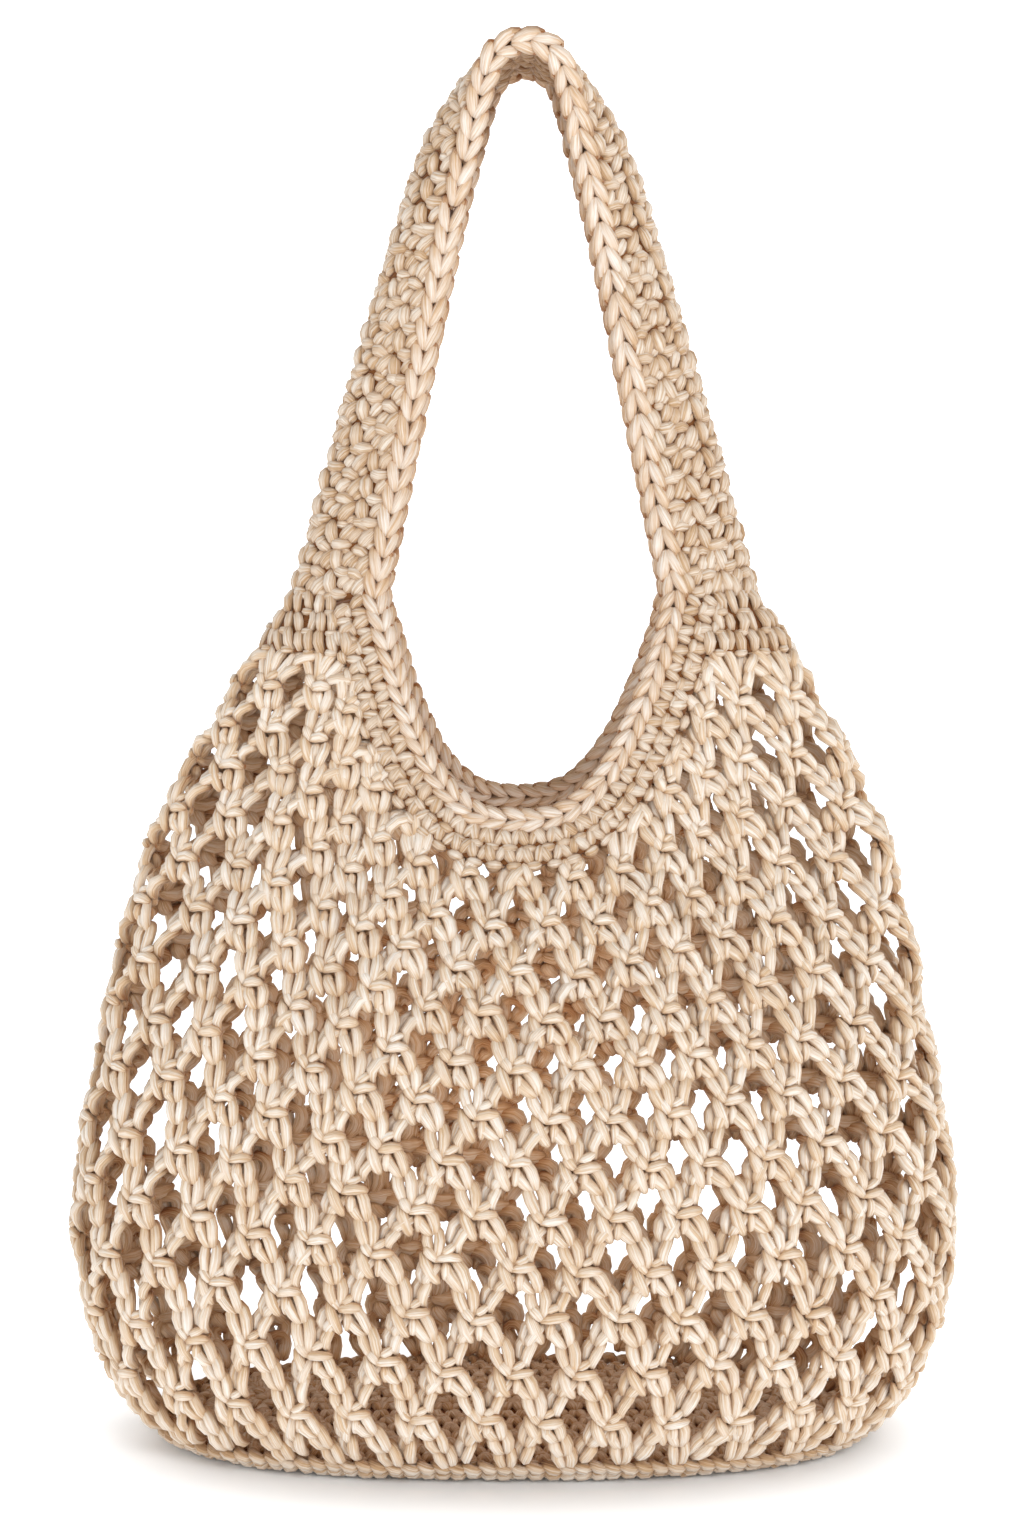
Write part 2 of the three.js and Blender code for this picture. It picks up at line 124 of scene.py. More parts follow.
def cotton(name, light_hex, deep_hex, crease_shade_hex):
    """Matt cotton cord. Its fibres are noise drawn out along the cord, u along it and v round it in metres.
    The colour runs from light over deep to the crease colour with half of fibres plus tone, plus the painted
    shade that the attribute depth holds. The crease colour is painted shade."""
    fibre_scale = (60.0, 950.0, 1.0)
    material = bpy.data.materials.new(name)
    material.use_nodes = True
    tree = material.node_tree
    shader = tree.nodes["Principled BSDF"]
    shader.inputs["Roughness"].default_value = 0.82
    shader.inputs["Sheen Weight"].default_value = 0.25
    shader.inputs["Sheen Roughness"].default_value = 0.5
    shader.inputs["Specular IOR Level"].default_value = 0.25
    uv = add_node(tree, "ShaderNodeUVMap", {"uv_map": "cord"})
    stretch = add_node(tree, "ShaderNodeMapping", {"Scale": fibre_scale}, {"Vector": uv.outputs["UV"]})
    fibres = add_node(
        tree,
        "ShaderNodeTexNoise",
        {"noise_dimensions": "2D", "Scale": 1.0, "Detail": 3.0, "Roughness": 0.65},
        {"Vector": stretch.outputs["Vector"]},
    )
    tone = add_node(tree, "ShaderNodeAttribute", {"attribute_name": "tone"})
    # depth: painted shade in the crease, on a cord's sides and back, and at its ends
    depth = add_node(tree, "ShaderNodeAttribute", {"attribute_name": "depth"})
    streaks = add_node(
        tree,
        "ShaderNodeMapRange",
        {"From Min": 0.36, "From Max": 0.7, "To Min": 0.0, "To Max": 0.75},
        {"Value": fibres.outputs["Fac"]},
    )
    shade = add_node(
        tree, "ShaderNodeMath", {"operation": "ADD"}, {0: streaks.outputs["Result"], 1: tone.outputs["Fac"]}
    )
    # Fibres and random tone, with the painted shade added on top
    fibres_tone_and_shade = add_node(
        tree,
        "ShaderNodeMath",
        {"operation": "MULTIPLY_ADD", 1: 0.5},
        {0: shade.outputs["Value"], 2: depth.outputs["Fac"]},
    )
    ramp = add_node(tree, "ShaderNodeValToRGB", {}, {"Fac": fibres_tone_and_shade.outputs["Value"]})
    ramp.color_ramp.elements[0].color = linear(light_hex)
    ramp.color_ramp.elements[1].color = linear(crease_shade_hex)
    ramp.color_ramp.elements.new(0.5).color = linear(deep_hex)
    tree.links.new(ramp.outputs["Color"], shader.inputs["Base Color"])
    bump = add_node(
        tree, "ShaderNodeBump", {"Strength": 0.7, "Distance": 0.8 * MM}, {"Height": fibres.outputs["Fac"]}
    )
    tree.links.new(bump.outputs["Normal"], shader.inputs["Normal"])
    return material


# The third colour of each cord is painted shade, for its crease, its sides and back, and its ends
net_cord = cotton("net_cotton_cord", "#FBF6EF", "#DABB97", "#A1652F")
dense_cord = cotton("dense_cotton_cord", "#F1E9DE", "#C5A27C", "#7C4B20")
edge_cord = cotton("edge_cotton_cord", "#F5EEE6", "#D4B28E", "#92592A")
SIDES = 6
TONE_RANGE = 0.3
# Painted shade on the back of a cord, on its sides and at its ends
BEHIND_SHADE, SIDE_SHADE, TIP_SHADE = 0.1, 0.27, 0.3


def unit(vectors):
    """Vectors of length one."""
    return vectors / np.maximum(np.linalg.norm(vectors, axis=-1, keepdims=True), 1e-12)


def cord_corners(rings):
    """The corners of a closed cord's faces, as stations along it and steps round it: quads from ring to
    ring, and triangles that fan from the point at each end."""
    j, k = np.meshgrid(np.arange(1, rings), np.arange(SIDES), indexing="ij")
    quads = j.reshape(-1, 1) + [0, 1, 1, 0], k.reshape(-1, 1) + [0, 0, 1, 1]
    k = np.arange(SIDES)[:, None]
    stations = np.repeat([[0, 1, 1], [rings + 1, rings, rings]], SIDES, axis=0)
    return {"quad": quads, "triangle": (stations, np.concatenate([k + [0, 0, 1], k + [0, 1, 0]]))}


def cords(paths, outwards, facing, wide, thick, crease_shade, rng):
    """Closed cords along paths (cord, station, xyz): an ellipse is carried along each path, its long half
    axis `wide` square to the path and to `outwards`, its short one `thick`. The first and last stations are
    its ends. Painted shade darkens it: by each station's crease shade, most on its sides, square to
    `facing`, less on its back, and more at its ends."""
    count, stations = paths.shape[:2]
    rings = stations - 2
    size = rings * SIDES + 2
    along = unit(np.gradient(paths, axis=1))
    beside = unit(np.cross(along, np.broadcast_to(outwards, paths.shape)))
    off = np.cross(beside, along)
    turn = 2 * np.pi * np.arange(SIDES) / SIDES
    ring = (
        paths[:, 1:-1, None]
        + (beside * wide[..., None])[:, 1:-1, None] * np.cos(turn)[:, None]
        + (off * thick[..., None])[:, 1:-1, None] * np.sin(turn)[:, None]
    )
    points = np.concatenate([ring.reshape(count, -1, 3), paths[:, :1], paths[:, -1:]], axis=1)

    gaps = np.linalg.norm(np.diff(paths, axis=1), axis=-1)
    length = np.concatenate([np.zeros((count, 1)), np.cumsum(gaps, axis=1)], axis=1) + rng.random((count, 1))
    girth = np.pi * 2 * wide.max() * np.arange(SIDES + 1) / SIDES
    shift = rng.random((count, 1, 1))
    tone = np.repeat(rng.uniform(0.0, TONE_RANGE, (count, 1)), size, axis=1)
    spoke = unit(ring - paths[:, 1:-1, None])
    shown = np.einsum("csrx,csx->csr", spoke, np.broadcast_to(facing, paths.shape)[:, 1:-1])
    # Painted shade on the sides and back of the cord. Rounded, and half shaded at nought, so that a side
    # exactly square to `facing` is the same in each run
    side_and_back_shade = BEHIND_SHADE * np.heaviside(-np.round(shown, 9), 0.5) + SIDE_SHADE * (1 - np.abs(shown))
    # Painted shade of each point, kept as the attribute depth: the crease shade, its side and back, its ends
    crease = np.broadcast_to(crease_shade, (count, stations))
    around = (crease[:, 1:-1, None] + side_and_back_shade).reshape(count, -1)
    depth = np.concatenate([around, crease[:, :1] + TIP_SHADE, crease[:, -1:] + TIP_SHADE], axis=1)
    made = {"points": points.reshape(-1, 3), "tone": tone.ravel(), "depth": depth.ravel()}
    for kind, (station, step) in cord_corners(rings).items():
        corner = np.where(station == 0, size - 2, (station - 1) * SIDES + step % SIDES)
        corner = np.where(station > rings, size - 1, corner) + size * np.arange(count)[:, None, None]
        made[kind + "s"] = corner.reshape(-1, corner.shape[-1])
        made[kind + "_uv"] = np.stack([length[:, station], girth[step] + shift], -1).reshape(-1, 2)
    return made


def piece(name, parts, material, nodes):
    """One object from groups of cords and walls, which rides on the bag and stands for the named solids."""
    starts = np.cumsum([0] + [len(part["points"]) for part in parts])
    quads = np.concatenate([part["quads"] + start for part, start in zip(parts, starts)])
    triangles = np.concatenate([part["triangles"] + start for part, start in zip(parts, starts)])
    points = np.concatenate([part["points"] for part in parts])
    mesh = bpy.data.meshes.new(name)
    mesh.vertices.add(len(points))
    mesh.loops.add(quads.size + triangles.size)
    mesh.polygons.add(len(quads) + len(triangles))
    mesh.vertices.foreach_set("co", points.astype(np.float32).ravel())
    corners = np.concatenate([quads.ravel(), triangles.ravel()])
    mesh.loops.foreach_set("vertex_index", corners.astype(np.int32))
    loop_starts = np.concatenate([np.arange(len(quads)) * 4, quads.size + np.arange(len(triangles)) * 3])
    mesh.polygons.foreach_set("loop_start", loop_starts.astype(np.int32))
    mesh.polygons.foreach_set("use_smooth", np.ones(len(loop_starts), bool))
    mesh.update(calc_edges=True)
    uv = np.concatenate([part["quad_uv"] for part in parts] + [part["triangle_uv"] for part in parts])
    mesh.uv_layers.new(name="cord").data.foreach_set("uv", uv.astype(np.float32).ravel())
    for key in ("tone", "depth"):
        values = np.concatenate([part[key] for part in parts])
        mesh.attributes.new(key, "FLOAT", "POINT").data.foreach_set("value", values.astype(np.float32))
    mesh.materials.append(material)
    made = bpy.data.objects.new(name, mesh)
    bpy.context.scene.collection.objects.link(made)
    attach(made, "root")
    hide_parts(*nodes)


def curve(first, middle, last, share):
    """Point and direction at each share s of the curve (1 - s)^2 first + 2 s (1 - s) control + s^2 last,
    whose control point, 2 middle - (first + last) / 2, makes it pass through the middle place at a half."""
    s = share[..., None]
    control = 2 * middle - (first + last) / 2
    point = (1 - s) ** 2 * first + 2 * s * (1 - s) * control + s**2 * last
    return point, unit(2 * (1 - s) * (control - first) + 2 * s * (last - control))


LOOP_STATIONS = np.array([0.0, 0.06, 0.28, 0.55, 0.82, 0.95, 1.0])
SIZE_SCATTER = 0.05
# Painted shade at both ends of a loop, where it runs under its neighbours
LOOP_END_SHADE = 0.4


def loops(shape, at, right, up, out, rng, spread=None, unevenness=0.3, shade=0.0):
    """Short visible loops of cord. `shape` holds three places of a curve in millimetres, to the right, up
    and outwards from each point of `at`, and the cord's half width and half thickness. `spread` stretches
    the places sideways, and `unevenness` scatters them. A loop's size follows (1 - |2s - 1|^2.6)^0.5, so
    that it swells in its middle, its painted shade deepens with |2s - 1|^3 to its ends, and `shade` adds
    painted shade to it all."""
    places, wide, thick = shape
    places = np.array(places, float) + rng.normal(0.0, unevenness, (len(at), 3, 3))
    if spread is not None:
        places[..., 0] *= spread[:, None]
    path, _ = curve(*(places[:, None, i] for i in range(3)), LOOP_STATIONS)
    path = at[:, None] + MM * (
        path[..., :1] * right[:, None] + path[..., 1:2] * up[:, None] + path[..., 2:] * out[:, None]
    )
    from_middle = np.abs(2 * LOOP_STATIONS - 1)
    swell = (1 - from_middle**2.6) ** 0.5
    size = 1 + rng.normal(0.0, SIZE_SCATTER, (len(at), 1))
    crease_shade = shade + LOOP_END_SHADE * from_middle**3
    outwards = out[:, None]
    return cords(path, outwards, outwards, MM * wide * swell * size, MM * thick * swell * size, crease_shade, rng)


# The sack's wall, on which the net, the bands and the shoulders lie: level oval sections whose width, depth
# and squareness change with height, the same as in the solids. The wall's middle lies half a strand inside
# the bag's width and depth, and the neck and strap stand a little to the right at the top.
SACK_WIDTH, SACK_DEPTH, SACK_HEIGHT, YOKE_HEIGHT = 381 * MM, 160 * MM, 339 * MM, 24 * MM
STRAND = 9 * MM
TOP_LEAN = 4.5 * MM
NECK_HALF_WIDTH, NECK_DIP = 62 * MM, 90.5 * MM
STRAP_FOOT = SACK_HEIGHT + YOKE_HEIGHT
SACK_SECTIONS = np.array([  # height as a share, width and depth as shares, squareness
    (0.0, 0.742, 0.675, 2.5),
    (0.03, 0.835, 0.775, 2.5),
    (0.054, 0.882, 0.84, 2.45),
    (0.12, 0.945, 0.925, 2.4),
    (0.275, 1.0, 1.0, 2.3),
    (0.406, 0.974, 1.0, 2.2),
    (0.531, 0.926, 0.94, 2.15),
    (0.657, 0.866, 0.77, 2.1),
    (0.782, 0.79, 0.54, 2.05),
    (0.907, 0.678, 0.42, 2.0),
    (1.0, 0.585, 0.365, 2.0),
    (1.08, 0.49, 0.3, 2.0),
])


def reading(table, value):
    """A table's columns at any value of its first: a cubic whose slope at a row is that of its neighbours."""
    at, columns = table[:, 0], table[:, 1:]
    value = np.clip(value, at[0], at[-1])
    i = np.clip(np.searchsorted(at, value, side="right"), 1, len(at) - 1)
    before = np.where(i >= 2, i - 2, i)
    beyond = np.where(i + 1 < len(at), i + 1, i - 1)
    half = (at[i] - at[i - 1]) / 2
    weight_before = half / (at[i - 1] - at[before])
    weight_beyond = half / (at[beyond] - at[i])
    p = (value - at[i - 1]) / (at[i] - at[i - 1])
    parts = (
        (before, -weight_before * p * (1 - p) ** 2),
        (
            i - 1,
            (1 + weight_before) * p**3 + (-1.5 - 2 * weight_before) * p**2 + (-0.5 + weight_before) * p + 1,
        ),
        (i, (-1 - weight_beyond) * p**3 + (1.5 + weight_beyond) * p**2 + 0.5 * p),
        (beyond, weight_beyond * p**2 * (p - 1)),
    )
    return sum(columns[rows] * weight[..., None] for rows, weight in parts)


def lean(z):
    """How far the sack's middle stands to the right at a height."""
    return TOP_LEAN * np.minimum(1.0, z / SACK_HEIGHT) ** 3


def sack_point(angle, z, grow=0.0):
    """A point of the wall at an angle from the front round by the right side: a superellipse at a height."""
    width, depth, squareness = np.moveaxis(reading(SACK_SECTIONS, z / SACK_HEIGHT), -1, 0)
    along, across = np.sin(angle), -np.cos(angle)
    reach = (np.abs(along) ** squareness + np.abs(across) ** squareness) ** (-1 / squareness)
    x = lean(z) + (width * (SACK_WIDTH - STRAND) / 2 + grow) * reach * along
    y = (depth * (SACK_DEPTH - STRAND) / 2 + grow) * reach * across
    return np.stack([x, y, np.broadcast_to(z, x.shape)], -1)


def sack_frame(angle, z):
    """Unit vectors of the wall there: round it to the right, up along it, and outwards."""
    step = 0.003
    right = unit(sack_point(angle + step, z) - sack_point(angle - step, z))
    up = sack_point(angle, z + step * SACK_HEIGHT) - sack_point(angle, z - step * SACK_HEIGHT)
    out = unit(np.cross(right, up))
    return right, np.cross(out, right), out


def angle_at_side(side, z):
    """The angle at which the wall stands that far right of the neck's middle, by 40 halvings."""
    low, high = np.zeros_like(side), np.full_like(side, np.pi / 2)
    for _ in range(40):
        middle = (low + high) / 2
        short = sack_point(middle, z)[..., 0] - lean(z) < side
        low, high = np.where(short, middle, low), np.where(short, high, middle)
    return (low + high) / 2


def neck_line(share, outwards):
    """Distance to the side and height of the neck's U, whose height grows as share to the power 2.8, or of
    a line that runs alongside it."""
    power = 2.8
    slope = power * NECK_DIP * share ** (power - 1) / NECK_HALF_WIDTH
    length = np.hypot(slope, 1)
    z = STRAP_FOOT - NECK_DIP + NECK_DIP * share**power - outwards / length
    return share * NECK_HALF_WIDTH + outwards * slope / length, z


def even_shares(points):
    """A function from even parts of a line's length to shares of its points, and the length."""
    lengths = np.concatenate([[0.0], np.cumsum(np.linalg.norm(np.diff(points, axis=0), axis=1))])
    shares = np.linspace(0, 1, len(points))
    return lambda part: np.interp(np.asarray(part) * lengths[-1], lengths, shares), lengths[-1]


# The net: chains of about three stitches run from knot to knot and leave diamonds open. It hangs from the
# neck bands and shoulders, is crocheted round, so its rows climb a little to one side, and is drawn into
# pleats under the neck.
SEAT_GAP, BAND_GAP = 0.3 * MM, 0.7 * MM
BAND_INNER = 4.3 * MM
BAND_OUTER = BAND_INNER + 13 * MM
NET_TOP = BAND_OUTER + BAND_GAP
NET_FOOT = 7.3 * MM
COLUMNS = 31
ROWS_IN_FRONT, ROWS_AT_SIDE, MOST_ROWS = 12.4, 15.0, 16
BACK_TURN = 0.25 / COLUMNS
TURN_SCATTER, ROW_SCATTER, ROW_SCATTER_FINE = 0.0009, 0.05, 0.04
FOOT_STRETCH, ROW_CLIMB, ANGLE_POWER = 0.2, 0.144, 1.5
PLEATS, PLEAT_DEPTH = 12, 3.5 * MM
fine = np.linspace(0, 1, 401)
side, height = neck_line(fine, NET_TOP)
shoulder_share = np.interp(SACK_HEIGHT - SEAT_GAP, height, fine)
side, height = neck_line(fine * shoulder_share, NET_TOP)
neck_angle = angle_at_side(side, height)
shoulder_angle = neck_angle[-1] + (np.pi / 2 - neck_angle[-1]) * fine[1:]
edge_angle = np.concatenate([neck_angle, shoulder_angle])
edge_height = np.concatenate([height, np.full_like(shoulder_angle, height[-1])])
edge_share, _ = even_shares(sack_point(edge_angle, edge_height))
foot_share, _ = even_shares(sack_point(fine * np.pi / 2, np.full_like(fine, NET_FOOT)))


def net_edge(turn):
    """For a share of a turn from the front: the angle at which its quarter starts and the way it runs, then
    from there the angles of the net's upper edge and of its foot, and the height of the upper edge."""
    quarters = (turn % 1.0) * 4
    quarter = np.floor(quarters)
    forwards = quarter % 2 == 0
    part = np.where(forwards, quarters - quarter, quarter + 1 - quarters)
    share = edge_share(part) * (len(edge_angle) - 1)
    places = np.arange(len(edge_angle))
    top, foot = np.interp(share, places, edge_angle), foot_share(part) * np.pi / 2
    base = np.where(forwards, quarter, quarter + 1) * np.pi / 2
    sign = np.where(forwards, 1.0, -1.0)
    return base, sign, top, foot, np.interp(share, places, edge_height)


def rows_at(turn):
    """How many rows of the net fit below its upper edge there, in proportion to the edge's height."""
    neck_bottom, z = edge_height[0], net_edge(turn)[-1]
    share = (z - neck_bottom) / (SACK_HEIGHT - neck_bottom)
    return ROWS_IN_FRONT + (ROWS_AT_SIDE - ROWS_IN_FRONT) * share


def net_place(turn, row):
    """Point and frame of the net at a share of a turn and a row. With u the share of the rows, the height
    grows as u + FOOT_STRETCH u (1 - u), less ROW_CLIMB u (1 - u) times the sine of the turn, so that rows
    stand wider apart near the foot and rise to the left in front. The angle goes from foot to top as u to
    the power 1.5, and below the neck a cosine round the sack pleats the wall along its normal. Sums of
    sines set the knots a little out of line, and the back is turned a quarter column against the front."""
    turn = turn + BACK_TURN * np.sin(np.pi * turn) ** 2
    uneven = np.sin(14 * np.pi * turn + 1.9 * row) + np.sin(26 * np.pi * turn - 2.7 * row)
    turn = turn + TURN_SCATTER * uneven
    coarse, slight = np.sin(10 * np.pi * turn + 2.3 * row), np.sin(34 * np.pi * turn - 1.7 * row)
    row = row + ROW_SCATTER * coarse + ROW_SCATTER_FINE * slight
    base, sign, top, foot, z_top = net_edge(turn)
    u = np.clip(row / rows_at(turn), 0.0, 1.0)
    u = u + FOOT_STRETCH * u * (1 - u) - ROW_CLIMB * np.sin(2 * np.pi * turn) * (u * (1 - u))
    angle = base + sign * (foot + (top - foot) * u**ANGLE_POWER)
    z = NET_FOOT + (z_top - NET_FOOT) * u
    right, up, out = sack_frame(angle, z)
    pleat = PLEAT_DEPTH * np.sin(np.pi * np.maximum(0, 2 * u - 1)) * np.cos(2 * np.pi * PLEATS * turn)
    return sack_point(angle, z) + pleat[..., None] * out, right, up, out


# Half of a chain stitch from its tip, which comes up through the stitch before, opens, and turns under the
# stitch after: place in link lengths along the chain, in millimetres beside it and outwards, swelling,
# painted crease shade
CHAIN_HALF = np.array([
    (-0.16, 0.7, -1.6, 0.0, 0.35),
    (0.04, 1.2, 0.4, 0.8, 0.18),
    (0.36, 2.1, 1.5, 1.0, 0.0),
    (0.72, 2.8, 1.2, 1.08, 0.0),
    (1.02, 2.7, 0.0, 1.0, 0.07),
    (1.20, 1.7, -1.6, 0.8, 0.28),
])
CHAIN_BEND = (1.26, 0.0, -1.9, 0.72, 0.35)
CORD_HALF_WIDTH = 2.3
CHAIN_WIDE, CHAIN_THICK = 1.04, 0.96
TIP_SHIFT, LINK_OVERLAP = 0.06, 0.1
PLACE_SCATTER, ROLL_SCATTER, WIDTH_SCATTER, CHAIN_SCATTER = 0.05, 0.12, 0.06, 0.04


def hairpin(opening):
    """A whole chain stitch: both halves of it, opened to the sides by a factor, round its bend."""
    half = CHAIN_HALF * (1, opening, 1, 1, 1)
    return np.concatenate([half * (1, -1, 1, 1, 1), [CHAIN_BEND], half[::-1]])


def chains(stitch, starts, middles, ends, outs, links, rolled, half_width, rng):
    """Chains of stitches from ends to starts: each is a cord whose stations are the rows of `stitch`, as
    CHAIN_HALF gives them, and whose tip points to the ends. The chain's line is a curve through three
    places, `outs` are its outward directions at its starts and ends, and `rolled` is the angle by which a
    stitch is rolled about it."""
    made = []
    for link in range(links):
        wander = rng.normal(0.0, PLACE_SCATTER, (len(starts), 1))
        share = (link + TIP_SHIFT + stitch[:, 0] + wander) / (links + LINK_OVERLAP)
        line, along = curve(ends[:, None], middles[:, None], starts[:, None], share)
        s = share[..., None]
        out = outs[0][:, None] * s + outs[1][:, None] * (1 - s)
        beside = unit(np.cross(along, out))
        out = np.cross(beside, along)
        roll = (rolled + rng.normal(0.0, ROLL_SCATTER, len(starts)))[:, None, None]
        b = stitch[None, :, 1, None] * (1 + rng.normal(0, WIDTH_SCATTER, (len(starts), 1, 1)))
        c = stitch[None, :, 2, None]
        path = line + MM * beside * (b * np.cos(roll) - c * np.sin(roll)) + MM * out * (
            b * np.sin(roll) + c * np.cos(roll)
        )
        across = beside * -np.sin(roll) + out * np.cos(roll)
        size = half_width * MM * stitch[:, 3] * (1 + rng.normal(0, CHAIN_SCATTER, (len(starts), 1)))
        made.append(cords(path, across, out, size * CHAIN_WIDE, size * CHAIN_THICK, stitch[:, 4], rng))
    return made


# The knot where two chains are crocheted together, as seen from outside: three points in millimetres, to
# the right, up and outwards, then half width and half thickness
KNOT = {
    "wrap": (((-3.2, -0.3, 1.6), (2.4, 1.6, 3.2), (7.4, 0.7, 0.6)), 2.3, 2.1),
    "pad": (((-1.1, 3.5, 1.6), (2.0, 5.2, 2.8), (5.0, 6.8, 0.9)), 1.9, 1.8),
    "long_leg": (((-7.6, 3.4, -0.2), (-5.1, -3.5, 2.6), (-1.7, -10.0, 0.6)), 2.6, 2.2),
    "short_leg": (((0.9, -0.6, 1.3), (1.1, -4.6, 2.1), (0.6, -8.7, 0.2)), 2.0, 1.9),
    "tip": (((-6.4, 6.2, 1.2), (-4.2, 3.4, 2.4), (-1.9, -0.2, 1.0)), 2.4, 2.1),
    "inside_bar": (((-6.8, 2.4, -1.6), (0.0, 1.0, -3.2), (6.4, 2.2, -1.6)), 2.6, 2.2),
    "inside_leg": (((4.6, -1.4, -1.6), (2.8, -4.8, -2.8), (-1.4, -8.6, -1.2)), 2.6, 2.1),
}
# The chain that comes down to a knot from the left and the one from the right: where it ends beside the
# knot, where it starts beside the knot above, how it bulges in its middle, all in millimetres as above, and
# its roll
CHAIN_COURSES = {
    -1: ((-3.0, 1.6, 0.8), (2.6, -1.5, 0.3), (1.4, 0.9, 0.3), 0.0),
    1: ((4.4, 3.0, -1.6), (-4.4, -2.0, -1.2), (-1.4, 0.9, -0.4), 0.8),
}
KNOT_SPACING, LINK_LENGTH, MOST_LINKS = 13.5 * MM, 9.5 * MM, 4
NARROWEST, WIDEST = 0.7, 1.12
EDGE_MARGIN, SHORTEST_RISE = 0.45, 0.75
EDGE_LINK_HEIGHT = 3.0 * MM
BACK_SLACK = 1.35


def moved(point, wall_frame, places, spread):
    """Points moved right, up and outwards in the wall's frame by millimetres, sideways times `spread`."""
    right, up, out = wall_frame
    x, y, z = places
    return point + MM * (x * spread[:, None] * right + y * up + z * out)


def net_part(columns, rng, slack):
    """The knots of the given columns, the chains that come down to them from the left and right, and above
    the last knots one link up to the net's edge. `slack` opens and swells the loops."""
    made = []
    column, row = (grid.ravel() for grid in np.meshgrid(columns, np.arange(MOST_ROWS), indexing="ij"))
    turn = (column + (row % 2) / 2) / COLUMNS
    below_edge = row < rows_at(turn) - EDGE_MARGIN
    turn, row = turn[below_edge], row[below_edge].astype(float)
    knot, *knot_frame = net_place(turn, row)
    aside = np.linalg.norm(net_place(turn + 0.5 / COLUMNS, row)[0] - knot, axis=1)
    spread = np.clip(aside / KNOT_SPACING, NARROWEST, WIDEST)
    real = row > 0
    for places, wide, thick in KNOT.values():
        shape = (places, wide * slack, thick * slack)
        made.append(loops(shape, knot[real], *(axis[real] for axis in knot_frame), rng, spread=spread[real]))

    stitch, half_width = hairpin(slack), CORD_HALF_WIDTH * slack
    for hand, (at_knot, at_far, bulge, roll) in CHAIN_COURSES.items():
        far_turn, far_row = turn + hand * 0.5 / COLUMNS, row + 1.0
        free = far_row > rows_at(far_turn) - EDGE_MARGIN
        far_row = np.where(free, rows_at(far_turn), far_row)
        far, *far_frame = net_place(far_turn, far_row)
        end = moved(knot, knot_frame, at_knot, spread)
        start = np.where(free[:, None], far, moved(far, far_frame, at_far, spread))
        half_way, *half_frame = net_place((turn + far_turn) / 2, (row + far_row) / 2)
        between = (start + end) / 2
        sag = np.einsum("ij,ij->i", half_way - between, half_frame[2])
        half_way = moved(between + sag[:, None] * half_frame[2], half_frame, bulge, spread)
        reach = np.linalg.norm(start - end, axis=1)
        fitting = np.clip(np.round(reach / LINK_LENGTH), 1, MOST_LINKS).astype(int)
        whole = ~free | (far_row - row > SHORTEST_RISE)
        for links in range(1, MOST_LINKS + 1):
            chosen = whole & (fitting == links)
            if chosen.any():
                line = (start[chosen], half_way[chosen], end[chosen])
                outs = (far_frame[2][chosen], knot_frame[2][chosen])
                made += chains(stitch, *line, outs, links, roll, half_width, rng)
    top = rows_at(turn)
    last = top - row < 1.0
    edge, *edge_frame = net_place(turn[last], top[last])
    end = knot[last] + EDGE_LINK_HEIGHT * knot_frame[1][last]
    outs = (edge_frame[2], knot_frame[2][last])
    return made + chains(stitch, edge, (edge + end) / 2, end, outs, 1, 0.0, half_width, rng)


NET_QUARTERS = {
    "net_front_left": range(-8, 0),
    "net_front_right": range(0, 8),
    "net_back_right": range(8, 16),
    "net_back_left": range(16, 23),
}
for seed, (name, columns) in enumerate(NET_QUARTERS.items(), 40):
    slack = BACK_SLACK if "back" in name else 1.0
    parts = net_part(np.array(columns), np.random.default_rng(seed), slack)
    piece(name, parts, net_cord, ["net_body"])


# Neck bands: two rows of single crochet round the front and the back of the neck, between its edging and
# the net. A stitch is a broad slanting loop beside a narrow one, over a round pad of cord, on both faces of
# a thin wall that closes the places between the loops.
WALL_THICKNESS = 4 * MM
# The walls are painted dark with crease shade, a sheet that stands for the shade between the loops
WALL_SHADE_TONE, WALL_SHADE = 0.5, 0.85


def wall(points, normals, thickness):
    """A closed sheet: a grid of points moved out and in by half the thickness, joined round its edges. Its
    faces are turned round where the grid's two directions run against the normals."""
    rows, columns = points.shape[:2]
    size = rows * columns
    outer = (points + normals * thickness / 2).reshape(-1, 3)
    inner = (points - normals * thickness / 2).reshape(-1, 3)
    both = np.concatenate([outer, inner])
    index = np.arange(size).reshape(rows, columns)
    face = np.stack([index[:-1, :-1], index[:-1, 1:], index[1:, 1:], index[1:, :-1]], -1).reshape(-1, 4)
    edge = np.concatenate([index[0], index[1:, -1], index[-1, -2::-1], index[-2:0:-1, 0]])
    after = np.roll(edge, -1)
    rim = np.stack([edge, after, after + size, edge + size], -1)
    if np.dot(np.cross(points[0, 1] - points[0, 0], points[1, 0] - points[0, 0]), normals[0, 0]) < 0:
        face = face[:, ::-1]
    else:
        rim = rim[:, ::-1]
    quads = np.concatenate([face, face[:, ::-1] + size, rim])
    return {
        "points": both,
        "quads": quads,
        "triangles": np.zeros((0, 3), int),
        "quad_uv": np.stack([both[quads, 0], both[quads, 1] + both[quads, 2]], -1).reshape(-1, 2),
        "triangle_uv": np.zeros((0, 2)),
        "tone": np.full(2 * size, WALL_SHADE_TONE),
        "depth": np.full(2 * size, WALL_SHADE),
    }


# One single crochet stitch, as KNOT gives its loops
STITCH = (
    (((-3.6, 3.9, 0.8), (-2.2, 0.3, 2.5), (-0.2, -3.3, 1.0)), 2.7, 2.0),
    (((3.6, 3.7, 0.8), (2.5, 0.3, 2.4), (1.5, -3.2, 1.0)), 2.2, 1.9),
    (((-3.2, -4.3, 0.8), (0.1, -4.5, 2.5), (3.2, -4.0, 0.8)), 2.2, 1.9),
)
STITCH_WIDTH = 7.8 * MM
BAND_ROWS = (2.6 * MM, 9.4 * MM)


